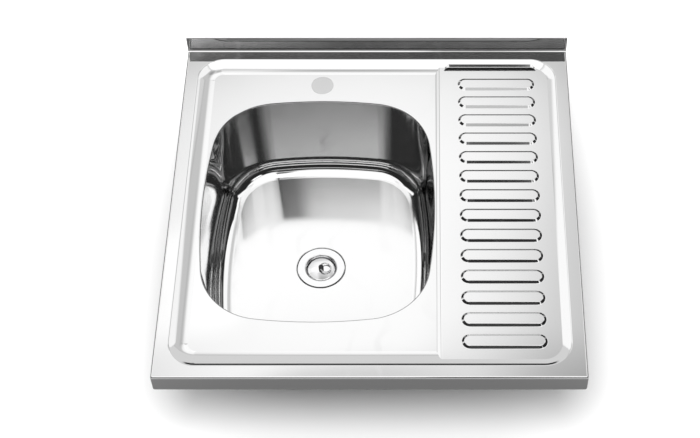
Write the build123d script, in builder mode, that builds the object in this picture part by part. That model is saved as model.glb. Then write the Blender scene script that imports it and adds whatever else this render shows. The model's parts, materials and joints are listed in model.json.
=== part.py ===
"""Lay-on kitchen sink top: pressed deck with one bowl, a ribbed drainer and a plug waste.

Millimetres, +Z up, +Y to the wall behind the sink, +X to the drainer.  Z = 0 is the plane
in which the return flange rests on a 600 mm cabinet, below the middle of the deck.
"""

import os
from math import asin, atan2, cos, degrees, radians, sin, sqrt, tan

from build123d import *

# ---------------------------------------------------------------- driving dimensions
SHEET = 0.8                 # stainless sheet of deck and bowl
WIDTH = 600.0               # deck, left to right
DEPTH = 600.0               # deck, front edge to upstand
APRON_HEIGHT = 33.0         # front and side aprons, so the deck plane's height
BEND_RADIUS = 3.0           # outside of a folded edge
UPSTAND_BEND_RADIUS = 4.0   # in the corner between deck and upstand
RETURN_FLANGE = 14.0        # inward fold under the aprons
UPSTAND_HEIGHT = 28.0
HEM_LENGTH = 12.0           # sheet folded down behind the upstand
HEM_RADIUS = 0.8            # centre line of that fold
RIM_INSET = 5.0             # keeps the inner forms of the pressing clear of the aprons
HEIGHT_TOLERANCE = 0.01     # when edges are picked by their height
PICK_MARGIN = 1.0           # when edges are picked by their place in plan

FIELD_SIZE = 560.0          # recessed field at the deck plane, before rounding
FIELD_CORNER = 39.0
FIELD_DEPTH = 6.0
SLOPE_ANGLE = 22.0          # of the field's banks, from the horizontal
FIELD_LIP_RADIUS = 5.0
FIELD_FOOT_RADIUS = 60.0

DRAINER_STEP_X = 94.0       # where the drainer starts to rise from the bowl's surround
DRAINER_RISE = 1.6
DRAINER_STEP_RADIUS = 10.0

GUTTER_FOOT_Y = 268.6       # shallow gutter along the back of the drainer, at its deepest
GUTTER_DEPTH = 0.8
GUTTER_FALL_ANGLE = 5.0     # of its floor, towards the back
GUTTER_WALL_ANGLE = 35.0    # of its walls, from its floor
GUTTER_START_X = 106.0
GUTTER_END_X = 250.0
GUTTER_WIDTH = 20.0
GUTTER_CORNER = 8.0
GUTTER_BEND_RADIUS = 1.2

RIB_COUNT = 14
RIB_PITCH = 36.2
RIB_LENGTH = 120.0
RIB_WIDTH = 24.0
RIB_HEIGHT = 2.7
RIB_SIDE_ANGLE = 34.0       # from the horizontal
RIB_CENTRE_X = 187.0
RIB_CENTRE_Y = -3.5
RIB_CREST_RADIUS = 1.8
RIB_FOOT_RADIUS = 1.2

BOWL_CENTRE_X = -81.8
BOWL_CENTRE_Y = -2.8
BOWL_HALF_WIDTH = 171.5
BOWL_HALF_LENGTH = 201.8
BOWL_CORNER_RADIUS = 92.9
BOWL_CORNER_X = 71.8        # corner arc's centre, from the bowl's centre
BOWL_CORNER_Y = 104.4
BOWL_DEPTH = 160.0          # deck plane to bowl floor
BOWL_DRAFT = 3.0
BOWL_FOOT_RADIUS = 25.0     # outside of the floor's bend
BOWL_EDGE_RADIUS = 2.2
LIP_HEIGHT = 6.0            # turned-down edge, bend included, that the bowl is welded to

TAP_MARK_X = -84.5
TAP_MARK_Y = 231.5
TAP_MARK_RADIUS = 17.5
TAP_SCORE = 0.3             # depth and width of the score line

WASTE_X = -85.5
WASTE_Y = -8.4
SEAT_RADIUS = 37.3          # pressed seat in the bowl floor
SEAT_DEPTH = 3.0
SEAT_HOLE_RADIUS = 26.0
SEAT_BEND_RADIUS = 1.2      # middle of the sheet
SEAT_REACH = 40.5           # where the seat's bend has run out into the floor
FLANGE_RADIUS = 36.0
FLANGE_SHEET = 1.0
GASKET = 2.0                # between flange and seat
CUP_MOUTH_RADIUS = 23.8     # middle of the sheet, as is the foot
CUP_FOOT_RADIUS = 20.6
CUP_DEPTH = 20.0
CUP_LIP_RADIUS = 2.0
DRAIN_HOLE_RADIUS = 3.0
DRAIN_HOLE_CIRCLE = 12.5
DRAIN_HOLES = 8

BODY_GASKET = 3.0
BODY_FLANGE_RADIUS = 36.0
BODY_FLANGE = 5.0
BODY_RADIUS = 29.0
BODY_BORE_RADIUS = 25.5
TAIL_RADIUS = 23.9          # G 1 1/2 outlet thread
TAIL_BORE_RADIUS = 20.5
TAIL_LENGTH = 28.0
HUB_RADIUS = 9.0
HUB_LENGTH = 12.0
BODY_NECK = 6.0             # cone from the chamber to the tail
WEB_THICKNESS = 5.0
WEB_SPOKES = 3
SPOKE_OVERLAP = 1.0         # into the hub and into the chamber's wall
SPOKE_WIDTH = 5.0
SCREW_RADIUS = 3.0          # M6
SCREW_CLEARANCE = 0.3
SCREW_HEAD_RADIUS = 5.5
SCREW_HEAD_HEIGHT = 3.0
SCREW_SLOT = 1.4            # width and depth
NUT_ACROSS_FLATS = 10.0
NUT_HEIGHT = 5.0

PLUG_CAP_RADIUS = 21.2      # middle of the sheet
PLUG_CAP_DROP = 3.0         # flange top to the cap's crown
PLUG_CAP_SHEET = 0.8
PLUG_CAP_SKIRT = 3.6        # crown to the lower edge
CAP_SPHERE = 235.0          # radius of its crown
CAP_EDGE_RADIUS = 1.6
PLUG_CORE_RADIUS = 18.8
PLUG_SHOULDER_RADIUS = 21.7
PLUG_FOOT_RADIUS = 20.6
PLUG_FOOT_BEND = 1.0
WASHER_RADIUS = 8.0
WASHER_THICKNESS = 1.2
PLUG_LENGTH = 13.5          # flange top to the rubber's underside
POST_RADIUS = 3.9
POST_TOP = 3.8              # above the flange
POST_CROWN_RADIUS = 1.2
POST_SHANK_RADIUS = 2.5
RIVET_RADIUS = 4.2
RIVET_HEIGHT = 1.2
RING_RADIUS = 8.4           # centre line
RING_WIRE_RADIUS = 1.1
RING_BEND_RADIUS = 2.4
RING_PIVOT_OFFSET = 7.0     # ring's middle to its straight bar
RING_AXIS_HEIGHT = 1.2      # above the flange
RUNNING_CLEARANCE = 0.06
LYING_GAP = 0.3             # between the lying ring and the plug cap

PAD_WIDTH = 230.0
PAD_LENGTH = 290.0
PAD_THICKNESS = 2.5
PAD_HOLE_RADIUS = 55.0

STIFFENER_LENGTH = 500.0
STIFFENER_X = (150.0, 224.0)
STIFFENER_FLANGE = 12.0
STIFFENER_CROWN = 22.0
STIFFENER_HEIGHT = 14.0
STIFFENER_SHEET = 1.0

BRACKET_Y = 220.0
BRACKET_SHEET = 1.5
BRACKET_WIDTH = 24.0
BRACKET_DROP = 40.0
BRACKET_INSET = 16.0        # cabinet side panel that the bracket clears
BRACKET_HOOK = 12.0
BRACKET_HOLE_RADIUS = 2.5
BRACKET_HOLE_DROP = 26.0

# ---------------------------------------------------------------- levels and derived sizes
DECK_TOP = APRON_HEIGHT
FIELD_TOP = DECK_TOP - FIELD_DEPTH
DRAINER_TOP = FIELD_TOP + DRAINER_RISE
LIP_BOTTOM = FIELD_TOP - LIP_HEIGHT
FLOOR_TOP = DECK_TOP - BOWL_DEPTH
SEAT_TOP = FLOOR_TOP - SEAT_DEPTH
SEAT_UNDER = SEAT_TOP - SHEET
BODY_TOP = SEAT_UNDER - BODY_GASKET
CUP_FLOOR = FLOOR_TOP - CUP_DEPTH
WEB_TOP = CUP_FLOOR - FLANGE_SHEET
HUB_BOTTOM = WEB_TOP - HUB_LENGTH
RING_AXIS_Z = FLOOR_TOP + RING_AXIS_HEIGHT
CAP_TOP = FLOOR_TOP - PLUG_CAP_DROP
WASTE_AXIS = Plane((WASTE_X, WASTE_Y, 0))
RIGHT_AT_WASTE = Plane((WASTE_X, WASTE_Y, 0), x_dir=(1, 0, 0), z_dir=(0, -1, 0))

WASTE_CENTRE_LINE = Axis((WASTE_X, WASTE_Y, 0), (0, 0, 1))
TAIL_END = HUB_BOTTOM - BODY_NECK - TAIL_LENGTH
CAP_SKIRT_Z = CAP_TOP - PLUG_CAP_SKIRT
PLUG_BOTTOM = FLOOR_TOP - PLUG_LENGTH
RING_REACH = RING_PIVOT_OFFSET + RING_RADIUS
CAP_FALL_UNDER_RING = RING_REACH**2 / (2 * CAP_SPHERE)
RING_DROP = RING_AXIS_HEIGHT + PLUG_CAP_DROP + CAP_FALL_UNDER_RING - RING_WIRE_RADIUS - LYING_GAP
LYING_ANGLE = asin(RING_DROP / RING_REACH)

os.makedirs("parts", exist_ok=True)


def save(part, name):
    """Label a finished piece and write its STEP file."""
    part.label = name
    export_step(part, f"parts/{name}.step")


def bowl_outline(grow=0.0):
    """The bowl's mouth: four bulged sides and four corners, all arcs tangent, about its centre."""
    corner = BOWL_CORNER_RADIUS + grow
    half_width = BOWL_HALF_WIDTH + grow
    half_length = BOWL_HALF_LENGTH + grow
    gap_x = half_width - BOWL_CORNER_X
    gap_y = half_length - BOWL_CORNER_Y
    side = (corner**2 - gap_x**2 - BOWL_CORNER_Y**2) / (2 * (corner - gap_x))
    end = (corner**2 - gap_y**2 - BOWL_CORNER_X**2) / (2 * (corner - gap_y))
    side_centre = half_width - side
    end_centre = half_length - end
    side_turn = degrees(atan2(BOWL_CORNER_Y, BOWL_CORNER_X - side_centre))
    end_turn = degrees(atan2(BOWL_CORNER_Y - end_centre, BOWL_CORNER_X))
    with BuildLine() as outline:
        CenterArc((side_centre, 0), side, 0, side_turn)
        CenterArc((BOWL_CORNER_X, BOWL_CORNER_Y), corner, side_turn, end_turn - side_turn)
        CenterArc((0, end_centre), end, end_turn, 90 - end_turn)
        mirror(about=Plane.YZ)
        mirror(about=Plane.XZ)
    return outline.line


def edges_at(builder, z, middle, reach_x, reach_y):
    """Edges of a part at height z, no further than the two reaches from a middle point."""
    return (
        builder.edges()
        .filter_by_position(Axis.Z, z - HEIGHT_TOLERANCE, z + HEIGHT_TOLERANCE)
        .filter_by_position(Axis.X, middle[0] - reach_x, middle[0] + reach_x)
        .filter_by_position(Axis.Y, middle[1] - reach_y, middle[1] + reach_y)
    )


def bowl_plane(z):
    """Horizontal plane at height z with its origin on the bowl's axis."""
    return Plane((BOWL_CENTRE_X, BOWL_CENTRE_Y, z))


# ---------------------------------------------------------------- deck
# the recessed field as a shallow pan with soft banks
with BuildPart() as pan:
    with BuildSketch(Plane.XY.offset(DECK_TOP)):
        RectangleRounded(FIELD_SIZE, FIELD_SIZE, FIELD_CORNER)
    extrude(amount=-FIELD_DEPTH, taper=90 - SLOPE_ANGLE)
    fillet(pan.faces().sort_by(Axis.Z)[0].edges(), FIELD_FOOT_RADIUS)

# the drainer's level, higher than the bowl's surround by a soft step that runs front to back
step_top_x = DRAINER_STEP_X + DRAINER_RISE / tan(radians(SLOPE_ANGLE))
level_end_x = WIDTH / 2 - RIM_INSET
with BuildPart() as drainer_level:
    with BuildSketch(Plane.XZ.offset(RIM_INSET - DEPTH / 2)):
        with BuildLine():
            FilletPolyline(
                (0, FIELD_TOP),
                (DRAINER_STEP_X, FIELD_TOP),
                (step_top_x, DRAINER_TOP),
                (level_end_x, DRAINER_TOP),
                radius=DRAINER_STEP_RADIUS,
            )
            Polyline(
                (level_end_x, DRAINER_TOP),
                (level_end_x, RIM_INSET),
                (0, RIM_INSET),
                (0, FIELD_TOP),
            )
        make_face()
    extrude(amount=DEPTH - 2 * RIM_INSET)

# tool that presses the gutter: a tray with a tilted floor, whose front lies above the drainer
gutter_floor = Plane(
    ((GUTTER_START_X + GUTTER_END_X) / 2, GUTTER_FOOT_Y, DRAINER_TOP - GUTTER_DEPTH),
    x_dir=(1, 0, 0),
    z_dir=(0, sin(radians(GUTTER_FALL_ANGLE)), cos(radians(GUTTER_FALL_ANGLE))),
)
with BuildPart() as gutter:
    with BuildSketch(gutter_floor):
        with Locations((0, -GUTTER_WIDTH / 2)):
            RectangleRounded(GUTTER_END_X - GUTTER_START_X, GUTTER_WIDTH, GUTTER_CORNER)
    extrude(amount=FIELD_DEPTH, taper=GUTTER_WALL_ANGLE - 90)
    fillet(gutter.faces().sort_by(Axis.Z)[0].edges(), GUTTER_BEND_RADIUS)

with BuildPart() as deck:
    # solid block with the outside of the pressing
    with BuildSketch():
        with Locations((0, -UPSTAND_BEND_RADIUS / 2)):
            Rectangle(WIDTH, DEPTH - UPSTAND_BEND_RADIUS)
    extrude(amount=DECK_TOP)
    rear = deck.faces().sort_by(Axis.Y)[-1]
    fillet(deck.edges() - rear.edges(), BEND_RADIUS)
    add(pan.part, mode=Mode.SUBTRACT)
    field_reach = FIELD_SIZE / 2 + PICK_MARGIN
    fillet(edges_at(deck, DECK_TOP, (0, 0), field_reach, field_reach), FIELD_LIP_RADIUS)
    add(drainer_level.part)
    add(gutter.part, mode=Mode.SUBTRACT)

    # drainer ribs, raised with a rounded crest and foot
    with BuildSketch(Plane.XY.offset(DRAINER_TOP)):
        with Locations((RIB_CENTRE_X, RIB_CENTRE_Y)):
            with GridLocations(0, RIB_PITCH, 1, RIB_COUNT):
                SlotOverall(RIB_LENGTH, RIB_WIDTH)
    extrude(amount=RIB_HEIGHT, taper=90 - RIB_SIDE_ANGLE)
    rib_middle = (RIB_CENTRE_X, RIB_CENTRE_Y)
    half_row = RIB_COUNT * RIB_PITCH / 2
    crests = edges_at(deck, DRAINER_TOP + RIB_HEIGHT, rib_middle, RIB_LENGTH, half_row)
    fillet(crests, RIB_CREST_RADIUS)
    feet = edges_at(deck, DRAINER_TOP, rib_middle, RIB_LENGTH / 2 + PICK_MARGIN, half_row)
    fillet(feet, RIB_FOOT_RADIUS)

    # bowl opening with a rolled edge
    with BuildSketch(bowl_plane(FIELD_TOP)):
        add(bowl_outline())
        make_face()
    extrude(amount=-FIELD_TOP, taper=BOWL_DRAFT, mode=Mode.SUBTRACT)
    bowl_middle = (BOWL_CENTRE_X, BOWL_CENTRE_Y)
    mouth_reach_x = BOWL_HALF_WIDTH + PICK_MARGIN
    mouth_reach_y = BOWL_HALF_LENGTH + PICK_MARGIN
    fillet(edges_at(deck, FIELD_TOP, bowl_middle, mouth_reach_x, mouth_reach_y), BOWL_EDGE_RADIUS)

    # the sheet itself, open at the back, then open underneath as far as the return flange
    offset(amount=-SHEET, openings=deck.faces().sort_by(Axis.Y)[-1])
    with BuildSketch():
        with Locations((0, RETURN_FLANGE / 2)):
            Rectangle(WIDTH - 2 * RETURN_FLANGE, DEPTH - RETURN_FLANGE)
    extrude(amount=LIP_BOTTOM, mode=Mode.SUBTRACT)

    # upstand, folded up from the deck's back edge and hemmed down behind itself
    bend_start = DEPTH / 2 - UPSTAND_BEND_RADIUS
    bend_top = DECK_TOP + UPSTAND_BEND_RADIUS
    upstand_middle = DEPTH / 2 + SHEET / 2
    hem_level = DECK_TOP + UPSTAND_HEIGHT - HEM_RADIUS - SHEET / 2
    with BuildSketch(Plane.YZ.offset(-WIDTH / 2)):
        with BuildLine():
            CenterArc((bend_start, bend_top), UPSTAND_BEND_RADIUS + SHEET / 2, -90, 90)
            Line((upstand_middle, bend_top), (upstand_middle, hem_level))
            CenterArc((upstand_middle + HEM_RADIUS, hem_level), HEM_RADIUS, 180, -180)
            Line(
                (upstand_middle + 2 * HEM_RADIUS, hem_level),
                (upstand_middle + 2 * HEM_RADIUS, hem_level - HEM_LENGTH),
            )
        trace(line_width=SHEET)
    extrude(amount=WIDTH)

    # score line of the knock-out for a tap
    with BuildSketch(Plane((TAP_MARK_X, TAP_MARK_Y, FIELD_TOP))):
        Circle(TAP_MARK_RADIUS)
        Circle(TAP_MARK_RADIUS - TAP_SCORE, mode=Mode.SUBTRACT)
    extrude(amount=-TAP_SCORE, mode=Mode.SUBTRACT)
save(deck.part, "deck")

# ---------------------------------------------------------------- bowl
def drawn_form(grow, floor_z, foot_radius):
    """Solid of the drafted bowl, from the level of the recessed field down to a floor height."""
    with BuildPart() as form:
        with BuildSketch(bowl_plane(FIELD_TOP)):
            add(bowl_outline(grow))
            make_face()
        extrude(amount=floor_z - FIELD_TOP, taper=BOWL_DRAFT)
        fillet(form.faces().sort_by(Axis.Z)[0].edges(), foot_radius)
    return form.part


bowl_outside = drawn_form(SHEET / cos(radians(BOWL_DRAFT)), FLOOR_TOP - SHEET, BOWL_FOOT_RADIUS)
bowl_inside = drawn_form(0, FLOOR_TOP, BOWL_FOOT_RADIUS - SHEET)
with BuildPart() as bowl:
    # cut level where the deck's lip ends, so that the two meet edge to edge
    add(bowl_outside)
    add(bowl_inside, mode=Mode.SUBTRACT)
    split(bisect_by=Plane.XY.offset(LIP_BOTTOM), keep=Keep.BOTTOM)

    # seat for the waste, pressed down into the floor
    with BuildSketch(WASTE_AXIS.offset(FLOOR_TOP)):
        Circle(SEAT_REACH)
    extrude(amount=-SHEET, mode=Mode.SUBTRACT)
    with BuildSketch(RIGHT_AT_WASTE):
        with BuildLine():
            FilletPolyline(
                (SEAT_REACH, FLOOR_TOP - SHEET / 2),
                (SEAT_RADIUS + SHEET / 2, FLOOR_TOP - SHEET / 2),
                (SEAT_RADIUS + SHEET / 2, SEAT_TOP - SHEET / 2),
                (SEAT_HOLE_RADIUS, SEAT_TOP - SHEET / 2),
                radius=SEAT_BEND_RADIUS,
            )
        trace(line_width=SHEET)
    revolve(axis=WASTE_CENTRE_LINE)
save(bowl.part, "bowl")

# ---------------------------------------------------------------- under the sink
with BuildPart() as sound_pad:
    with BuildSketch(bowl_plane(FLOOR_TOP - SHEET)):
        RectangleRounded(PAD_WIDTH, PAD_LENGTH, PAD_HOLE_RADIUS / 2)
        with Locations((WASTE_X - BOWL_CENTRE_X, WASTE_Y - BOWL_CENTRE_Y)):
            Circle(PAD_HOLE_RADIUS, mode=Mode.SUBTRACT)
    extrude(amount=-PAD_THICKNESS)
save(sound_pad.part, "sound_pad")

for side, stiffener_x in zip(("inner", "outer"), STIFFENER_X):
    with BuildPart() as stiffener:
        flange_level = DRAINER_TOP - SHEET - STIFFENER_SHEET / 2
        crown_level = flange_level - STIFFENER_HEIGHT
        half_crown = STIFFENER_CROWN / 2
        section = Plane((stiffener_x, STIFFENER_LENGTH / 2, 0), x_dir=(1, 0, 0), z_dir=(0, -1, 0))
        with BuildSketch(section):
            with BuildLine():
                Polyline(
                    (-half_crown - STIFFENER_FLANGE, flange_level),
                    (-half_crown, flange_level),
                    (-half_crown, crown_level),
                    (half_crown, crown_level),
                    (half_crown, flange_level),
                    (half_crown + STIFFENER_FLANGE, flange_level),
                )
            trace(line_width=STIFFENER_SHEET)
        extrude(amount=STIFFENER_LENGTH)
    save(stiffener.part, f"drainer_stiffener_{side}")

for side, towards_side in (("left", -1), ("right", 1)):
    for end, bracket_y in (("front", -BRACKET_Y), ("back", BRACKET_Y)):
        with BuildPart() as bracket:
            # angle that hooks over the return flange and is screwed to the cabinet's side panel
            leg_x = towards_side * (WIDTH / 2 - BRACKET_INSET - BRACKET_SHEET / 2)
            hook_x = leg_x + towards_side * BRACKET_HOOK
            section = Plane((0, bracket_y + BRACKET_WIDTH / 2, 0), x_dir=(1, 0, 0), z_dir=(0, -1, 0))
            with BuildSketch(section):
                with BuildLine():
                    FilletPolyline(
                        (hook_x, SHEET + BRACKET_SHEET / 2),
                        (leg_x, SHEET + BRACKET_SHEET / 2),
                        (leg_x, -BRACKET_DROP),
                        radius=BRACKET_SHEET,
                    )
                trace(line_width=BRACKET_SHEET)
            extrude(amount=BRACKET_WIDTH)
            with Locations(Plane((leg_x, bracket_y, -BRACKET_HOLE_DROP), z_dir=(1, 0, 0)).location):
                Hole(BRACKET_HOLE_RADIUS)
        save(bracket.part, f"bracket_{end}_{side}")

# ---------------------------------------------------------------- waste
with BuildPart() as waste_flange:
    with BuildSketch(RIGHT_AT_WASTE):
        with BuildLine():
            # middle of the sheet, from the flange's rim over the mouth and down to the cup's middle
            FilletPolyline(
                (FLANGE_RADIUS, FLOOR_TOP - FLANGE_SHEET / 2),
                (CUP_MOUTH_RADIUS, FLOOR_TOP - FLANGE_SHEET / 2),
                (CUP_FOOT_RADIUS, CUP_FLOOR - FLANGE_SHEET / 2),
                (0, CUP_FLOOR - FLANGE_SHEET / 2),
                radius=CUP_LIP_RADIUS,
            )
        trace(line_width=FLANGE_SHEET)
    revolve(axis=WASTE_CENTRE_LINE)
    with Locations(WASTE_AXIS.offset(CUP_FLOOR).location):
        Hole(SCREW_RADIUS + SCREW_CLEARANCE)
        with PolarLocations(DRAIN_HOLE_CIRCLE, DRAIN_HOLES):
            Hole(DRAIN_HOLE_RADIUS)
save(waste_flange.part, "waste_flange")

with BuildPart() as flange_gasket:
    with BuildSketch(WASTE_AXIS.offset(SEAT_TOP)):
        Circle(FLANGE_RADIUS - SHEET)
        Circle(SEAT_HOLE_RADIUS + SHEET, mode=Mode.SUBTRACT)
    extrude(amount=GASKET)
save(flange_gasket.part, "flange_gasket")

with BuildPart() as body_gasket:
    with BuildSketch(WASTE_AXIS.offset(BODY_TOP)):
        Circle(BODY_FLANGE_RADIUS - SHEET)
        Circle(SEAT_HOLE_RADIUS + SHEET, mode=Mode.SUBTRACT)
    extrude(amount=BODY_GASKET)
save(body_gasket.part, "body_gasket")

with BuildPart() as waste_body:
    # moulded body: flange under the sink, chamber round the cup, hub on a web, threaded tail
    with BuildSketch(RIGHT_AT_WASTE):
        with BuildLine():
            Polyline(
                (BODY_BORE_RADIUS, BODY_TOP),
                (BODY_FLANGE_RADIUS, BODY_TOP),
                (BODY_FLANGE_RADIUS, BODY_TOP - BODY_FLANGE),
                (BODY_RADIUS, BODY_TOP - BODY_FLANGE),
                (BODY_RADIUS, HUB_BOTTOM),
                (TAIL_RADIUS, HUB_BOTTOM - BODY_NECK),
                (TAIL_RADIUS, TAIL_END),
                (TAIL_BORE_RADIUS, TAIL_END),
                (TAIL_BORE_RADIUS, HUB_BOTTOM - BODY_NECK),
                (BODY_BORE_RADIUS, HUB_BOTTOM),
                close=True,
            )
        make_face()
    revolve(axis=WASTE_CENTRE_LINE)
    with BuildSketch(WASTE_AXIS.offset(WEB_TOP)):
        with PolarLocations((HUB_RADIUS + BODY_BORE_RADIUS) / 2, WEB_SPOKES):
            Rectangle(BODY_BORE_RADIUS - HUB_RADIUS + 2 * SPOKE_OVERLAP, SPOKE_WIDTH)
    extrude(amount=-WEB_THICKNESS)
    with BuildSketch(WASTE_AXIS.offset(WEB_TOP)):
        Circle(HUB_RADIUS)
    extrude(amount=-HUB_LENGTH)
    with BuildSketch(WASTE_AXIS.offset(HUB_BOTTOM)):
        RegularPolygon(NUT_ACROSS_FLATS / 2, 6, major_radius=False)
    extrude(amount=NUT_HEIGHT, mode=Mode.SUBTRACT)
    with Locations(WASTE_AXIS.offset(WEB_TOP).location):
        Hole(SCREW_RADIUS + SCREW_CLEARANCE, depth=HUB_LENGTH)
save(waste_body.part, "waste_body")

with BuildPart() as waste_nut:
    with BuildSketch(WASTE_AXIS.offset(HUB_BOTTOM)):
        RegularPolygon(NUT_ACROSS_FLATS / 2, 6, major_radius=False)
        Circle(SCREW_RADIUS, mode=Mode.SUBTRACT)
    extrude(amount=NUT_HEIGHT)
save(waste_nut.part, "waste_nut")

with BuildPart() as waste_screw:
    # cheese head with a slot, in the bottom of the cup
    with BuildSketch(WASTE_AXIS.offset(CUP_FLOOR)):
        Circle(SCREW_HEAD_RADIUS)
    extrude(amount=SCREW_HEAD_HEIGHT)
    fillet(waste_screw.edges().sort_by(Axis.Z)[-1], SCREW_HEAD_HEIGHT / 4)
    with BuildSketch(WASTE_AXIS.offset(CUP_FLOOR + SCREW_HEAD_HEIGHT)):
        Rectangle(2 * SCREW_HEAD_RADIUS, SCREW_SLOT)
    extrude(amount=-SCREW_SLOT, mode=Mode.SUBTRACT)
    with BuildSketch(WASTE_AXIS.offset(CUP_FLOOR)):
        Circle(SCREW_RADIUS)
    extrude(amount=HUB_BOTTOM - SCREW_SLOT - CUP_FLOOR)
save(waste_screw.part, "waste_screw")

# ---------------------------------------------------------------- plug
def cap_underside(radius):
    """Height of the crowned cap's underside at a radius from the waste's centre line."""
    return CAP_TOP - CAP_SPHERE + sqrt((CAP_SPHERE - PLUG_CAP_SHEET) ** 2 - radius**2)


with BuildPart() as plug_cap:
    # slightly crowned disc with its edge turned down over the rubber
    with BuildSketch(RIGHT_AT_WASTE):
        with BuildLine():
            turn = degrees(asin((PLUG_CAP_RADIUS - CAP_EDGE_RADIUS) / CAP_SPHERE))
            crown = CenterArc((0, CAP_TOP - CAP_SPHERE), CAP_SPHERE - PLUG_CAP_SHEET / 2, 90, -turn)
            edge_end = (PLUG_CAP_RADIUS, (crown @ 1).Y - CAP_EDGE_RADIUS)
            edge = TangentArc(crown @ 1, edge_end, tangent=crown % 1)
            Line(edge_end, (PLUG_CAP_RADIUS, CAP_SKIRT_Z))
        trace(line_width=PLUG_CAP_SHEET)
    revolve(axis=WASTE_CENTRE_LINE)
    with Locations(WASTE_AXIS.offset(CAP_TOP).location):
        Hole(POST_SHANK_RADIUS)
save(plug_cap.part, "plug_cap")

with BuildPart() as plug_body:
    # tapered rubber with a shoulder under the cap's skirt
    with BuildSketch(RIGHT_AT_WASTE):
        Polygon(
            (POST_SHANK_RADIUS, cap_underside(POST_SHANK_RADIUS)),
            (PLUG_CORE_RADIUS, cap_underside(PLUG_CORE_RADIUS)),
            (PLUG_CORE_RADIUS, CAP_SKIRT_Z),
            (PLUG_SHOULDER_RADIUS, CAP_SKIRT_Z),
            (PLUG_FOOT_RADIUS, PLUG_BOTTOM),
            (POST_SHANK_RADIUS, PLUG_BOTTOM),
            align=None,
        )
    revolve(axis=WASTE_CENTRE_LINE)
    foot_edge = plug_body.edges().filter_by(GeomType.CIRCLE).group_by(Axis.Z)[0].sort_by(SortBy.LENGTH)[-1]
    fillet(foot_edge, PLUG_FOOT_BEND)
save(plug_body.part, "plug_body")

with BuildPart() as plug_washer:
    with BuildSketch(WASTE_AXIS.offset(PLUG_BOTTOM)):
        Circle(WASHER_RADIUS)
        Circle(POST_SHANK_RADIUS, mode=Mode.SUBTRACT)
    extrude(amount=-WASHER_THICKNESS)
save(plug_washer.part, "plug_washer")

with BuildPart() as plug_post:
    # post on the cap, its shank through the rubber and its end riveted over the washer
    with BuildSketch(WASTE_AXIS.offset(CAP_TOP)):
        Circle(POST_RADIUS)
    extrude(amount=FLOOR_TOP + POST_TOP - CAP_TOP)
    fillet(plug_post.edges().sort_by(Axis.Z)[-1], POST_CROWN_RADIUS)
    with BuildSketch(WASTE_AXIS.offset(CAP_TOP)):
        Circle(POST_SHANK_RADIUS)
    extrude(amount=PLUG_BOTTOM - WASHER_THICKNESS - CAP_TOP)
    with BuildSketch(WASTE_AXIS.offset(PLUG_BOTTOM - WASHER_THICKNESS)):
        Circle(RIVET_RADIUS)
    extrude(amount=-RIVET_HEIGHT)
    fillet(plug_post.edges().sort_by(Axis.Z)[0], RIVET_HEIGHT / 2)
    with Locations(Plane((WASTE_X, WASTE_Y, RING_AXIS_Z), z_dir=(0, 1, 0)).location):
        Hole(RING_WIRE_RADIUS + RUNNING_CLEARANCE)
save(plug_post.part, "plug_post")

with BuildPart() as pull_ring:
    # round ring with a straight bar through the post, lying over to the right, just above the cap
    lying_plane = Plane(
        (WASTE_X, WASTE_Y, RING_AXIS_Z),
        x_dir=(cos(LYING_ANGLE), 0, -sin(LYING_ANGLE)),
        z_dir=(sin(LYING_ANGLE), 0, cos(LYING_ANGLE)),
    )
    with BuildLine(lying_plane) as ring_path:
        bend_y = sqrt((RING_RADIUS - RING_BEND_RADIUS) ** 2 - (RING_PIVOT_OFFSET - RING_BEND_RADIUS) ** 2)
        bend_turn = degrees(atan2(bend_y, RING_BEND_RADIUS - RING_PIVOT_OFFSET))
        Line((0, -bend_y), (0, bend_y))
        CenterArc((RING_BEND_RADIUS, bend_y), RING_BEND_RADIUS, 180, bend_turn - 180)
        CenterArc((RING_PIVOT_OFFSET, 0), RING_RADIUS, bend_turn, -2 * bend_turn)
        CenterArc((RING_BEND_RADIUS, -bend_y), RING_BEND_RADIUS, -bend_turn, bend_turn - 180)
    with BuildSketch(Plane((WASTE_X, WASTE_Y, RING_AXIS_Z), z_dir=(0, 1, 0))):
        Circle(RING_WIRE_RADIUS)
    sweep(path=ring_path.line)
save(pull_ring.part, "pull_ring")
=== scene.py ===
"""Looks of a lay-on kitchen sink top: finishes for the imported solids, and finer pieces round them.

Metres, +Z up, +Y to the wall behind the sink, +X to the drainer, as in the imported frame.
Each sub-assembly is a class that dresses its own solids and builds the pieces that they lack.
"""

from __future__ import annotations

import json
import logging
import math
from dataclasses import dataclass, field
from enum import Enum
from typing import Any, Callable, Sequence

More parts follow.
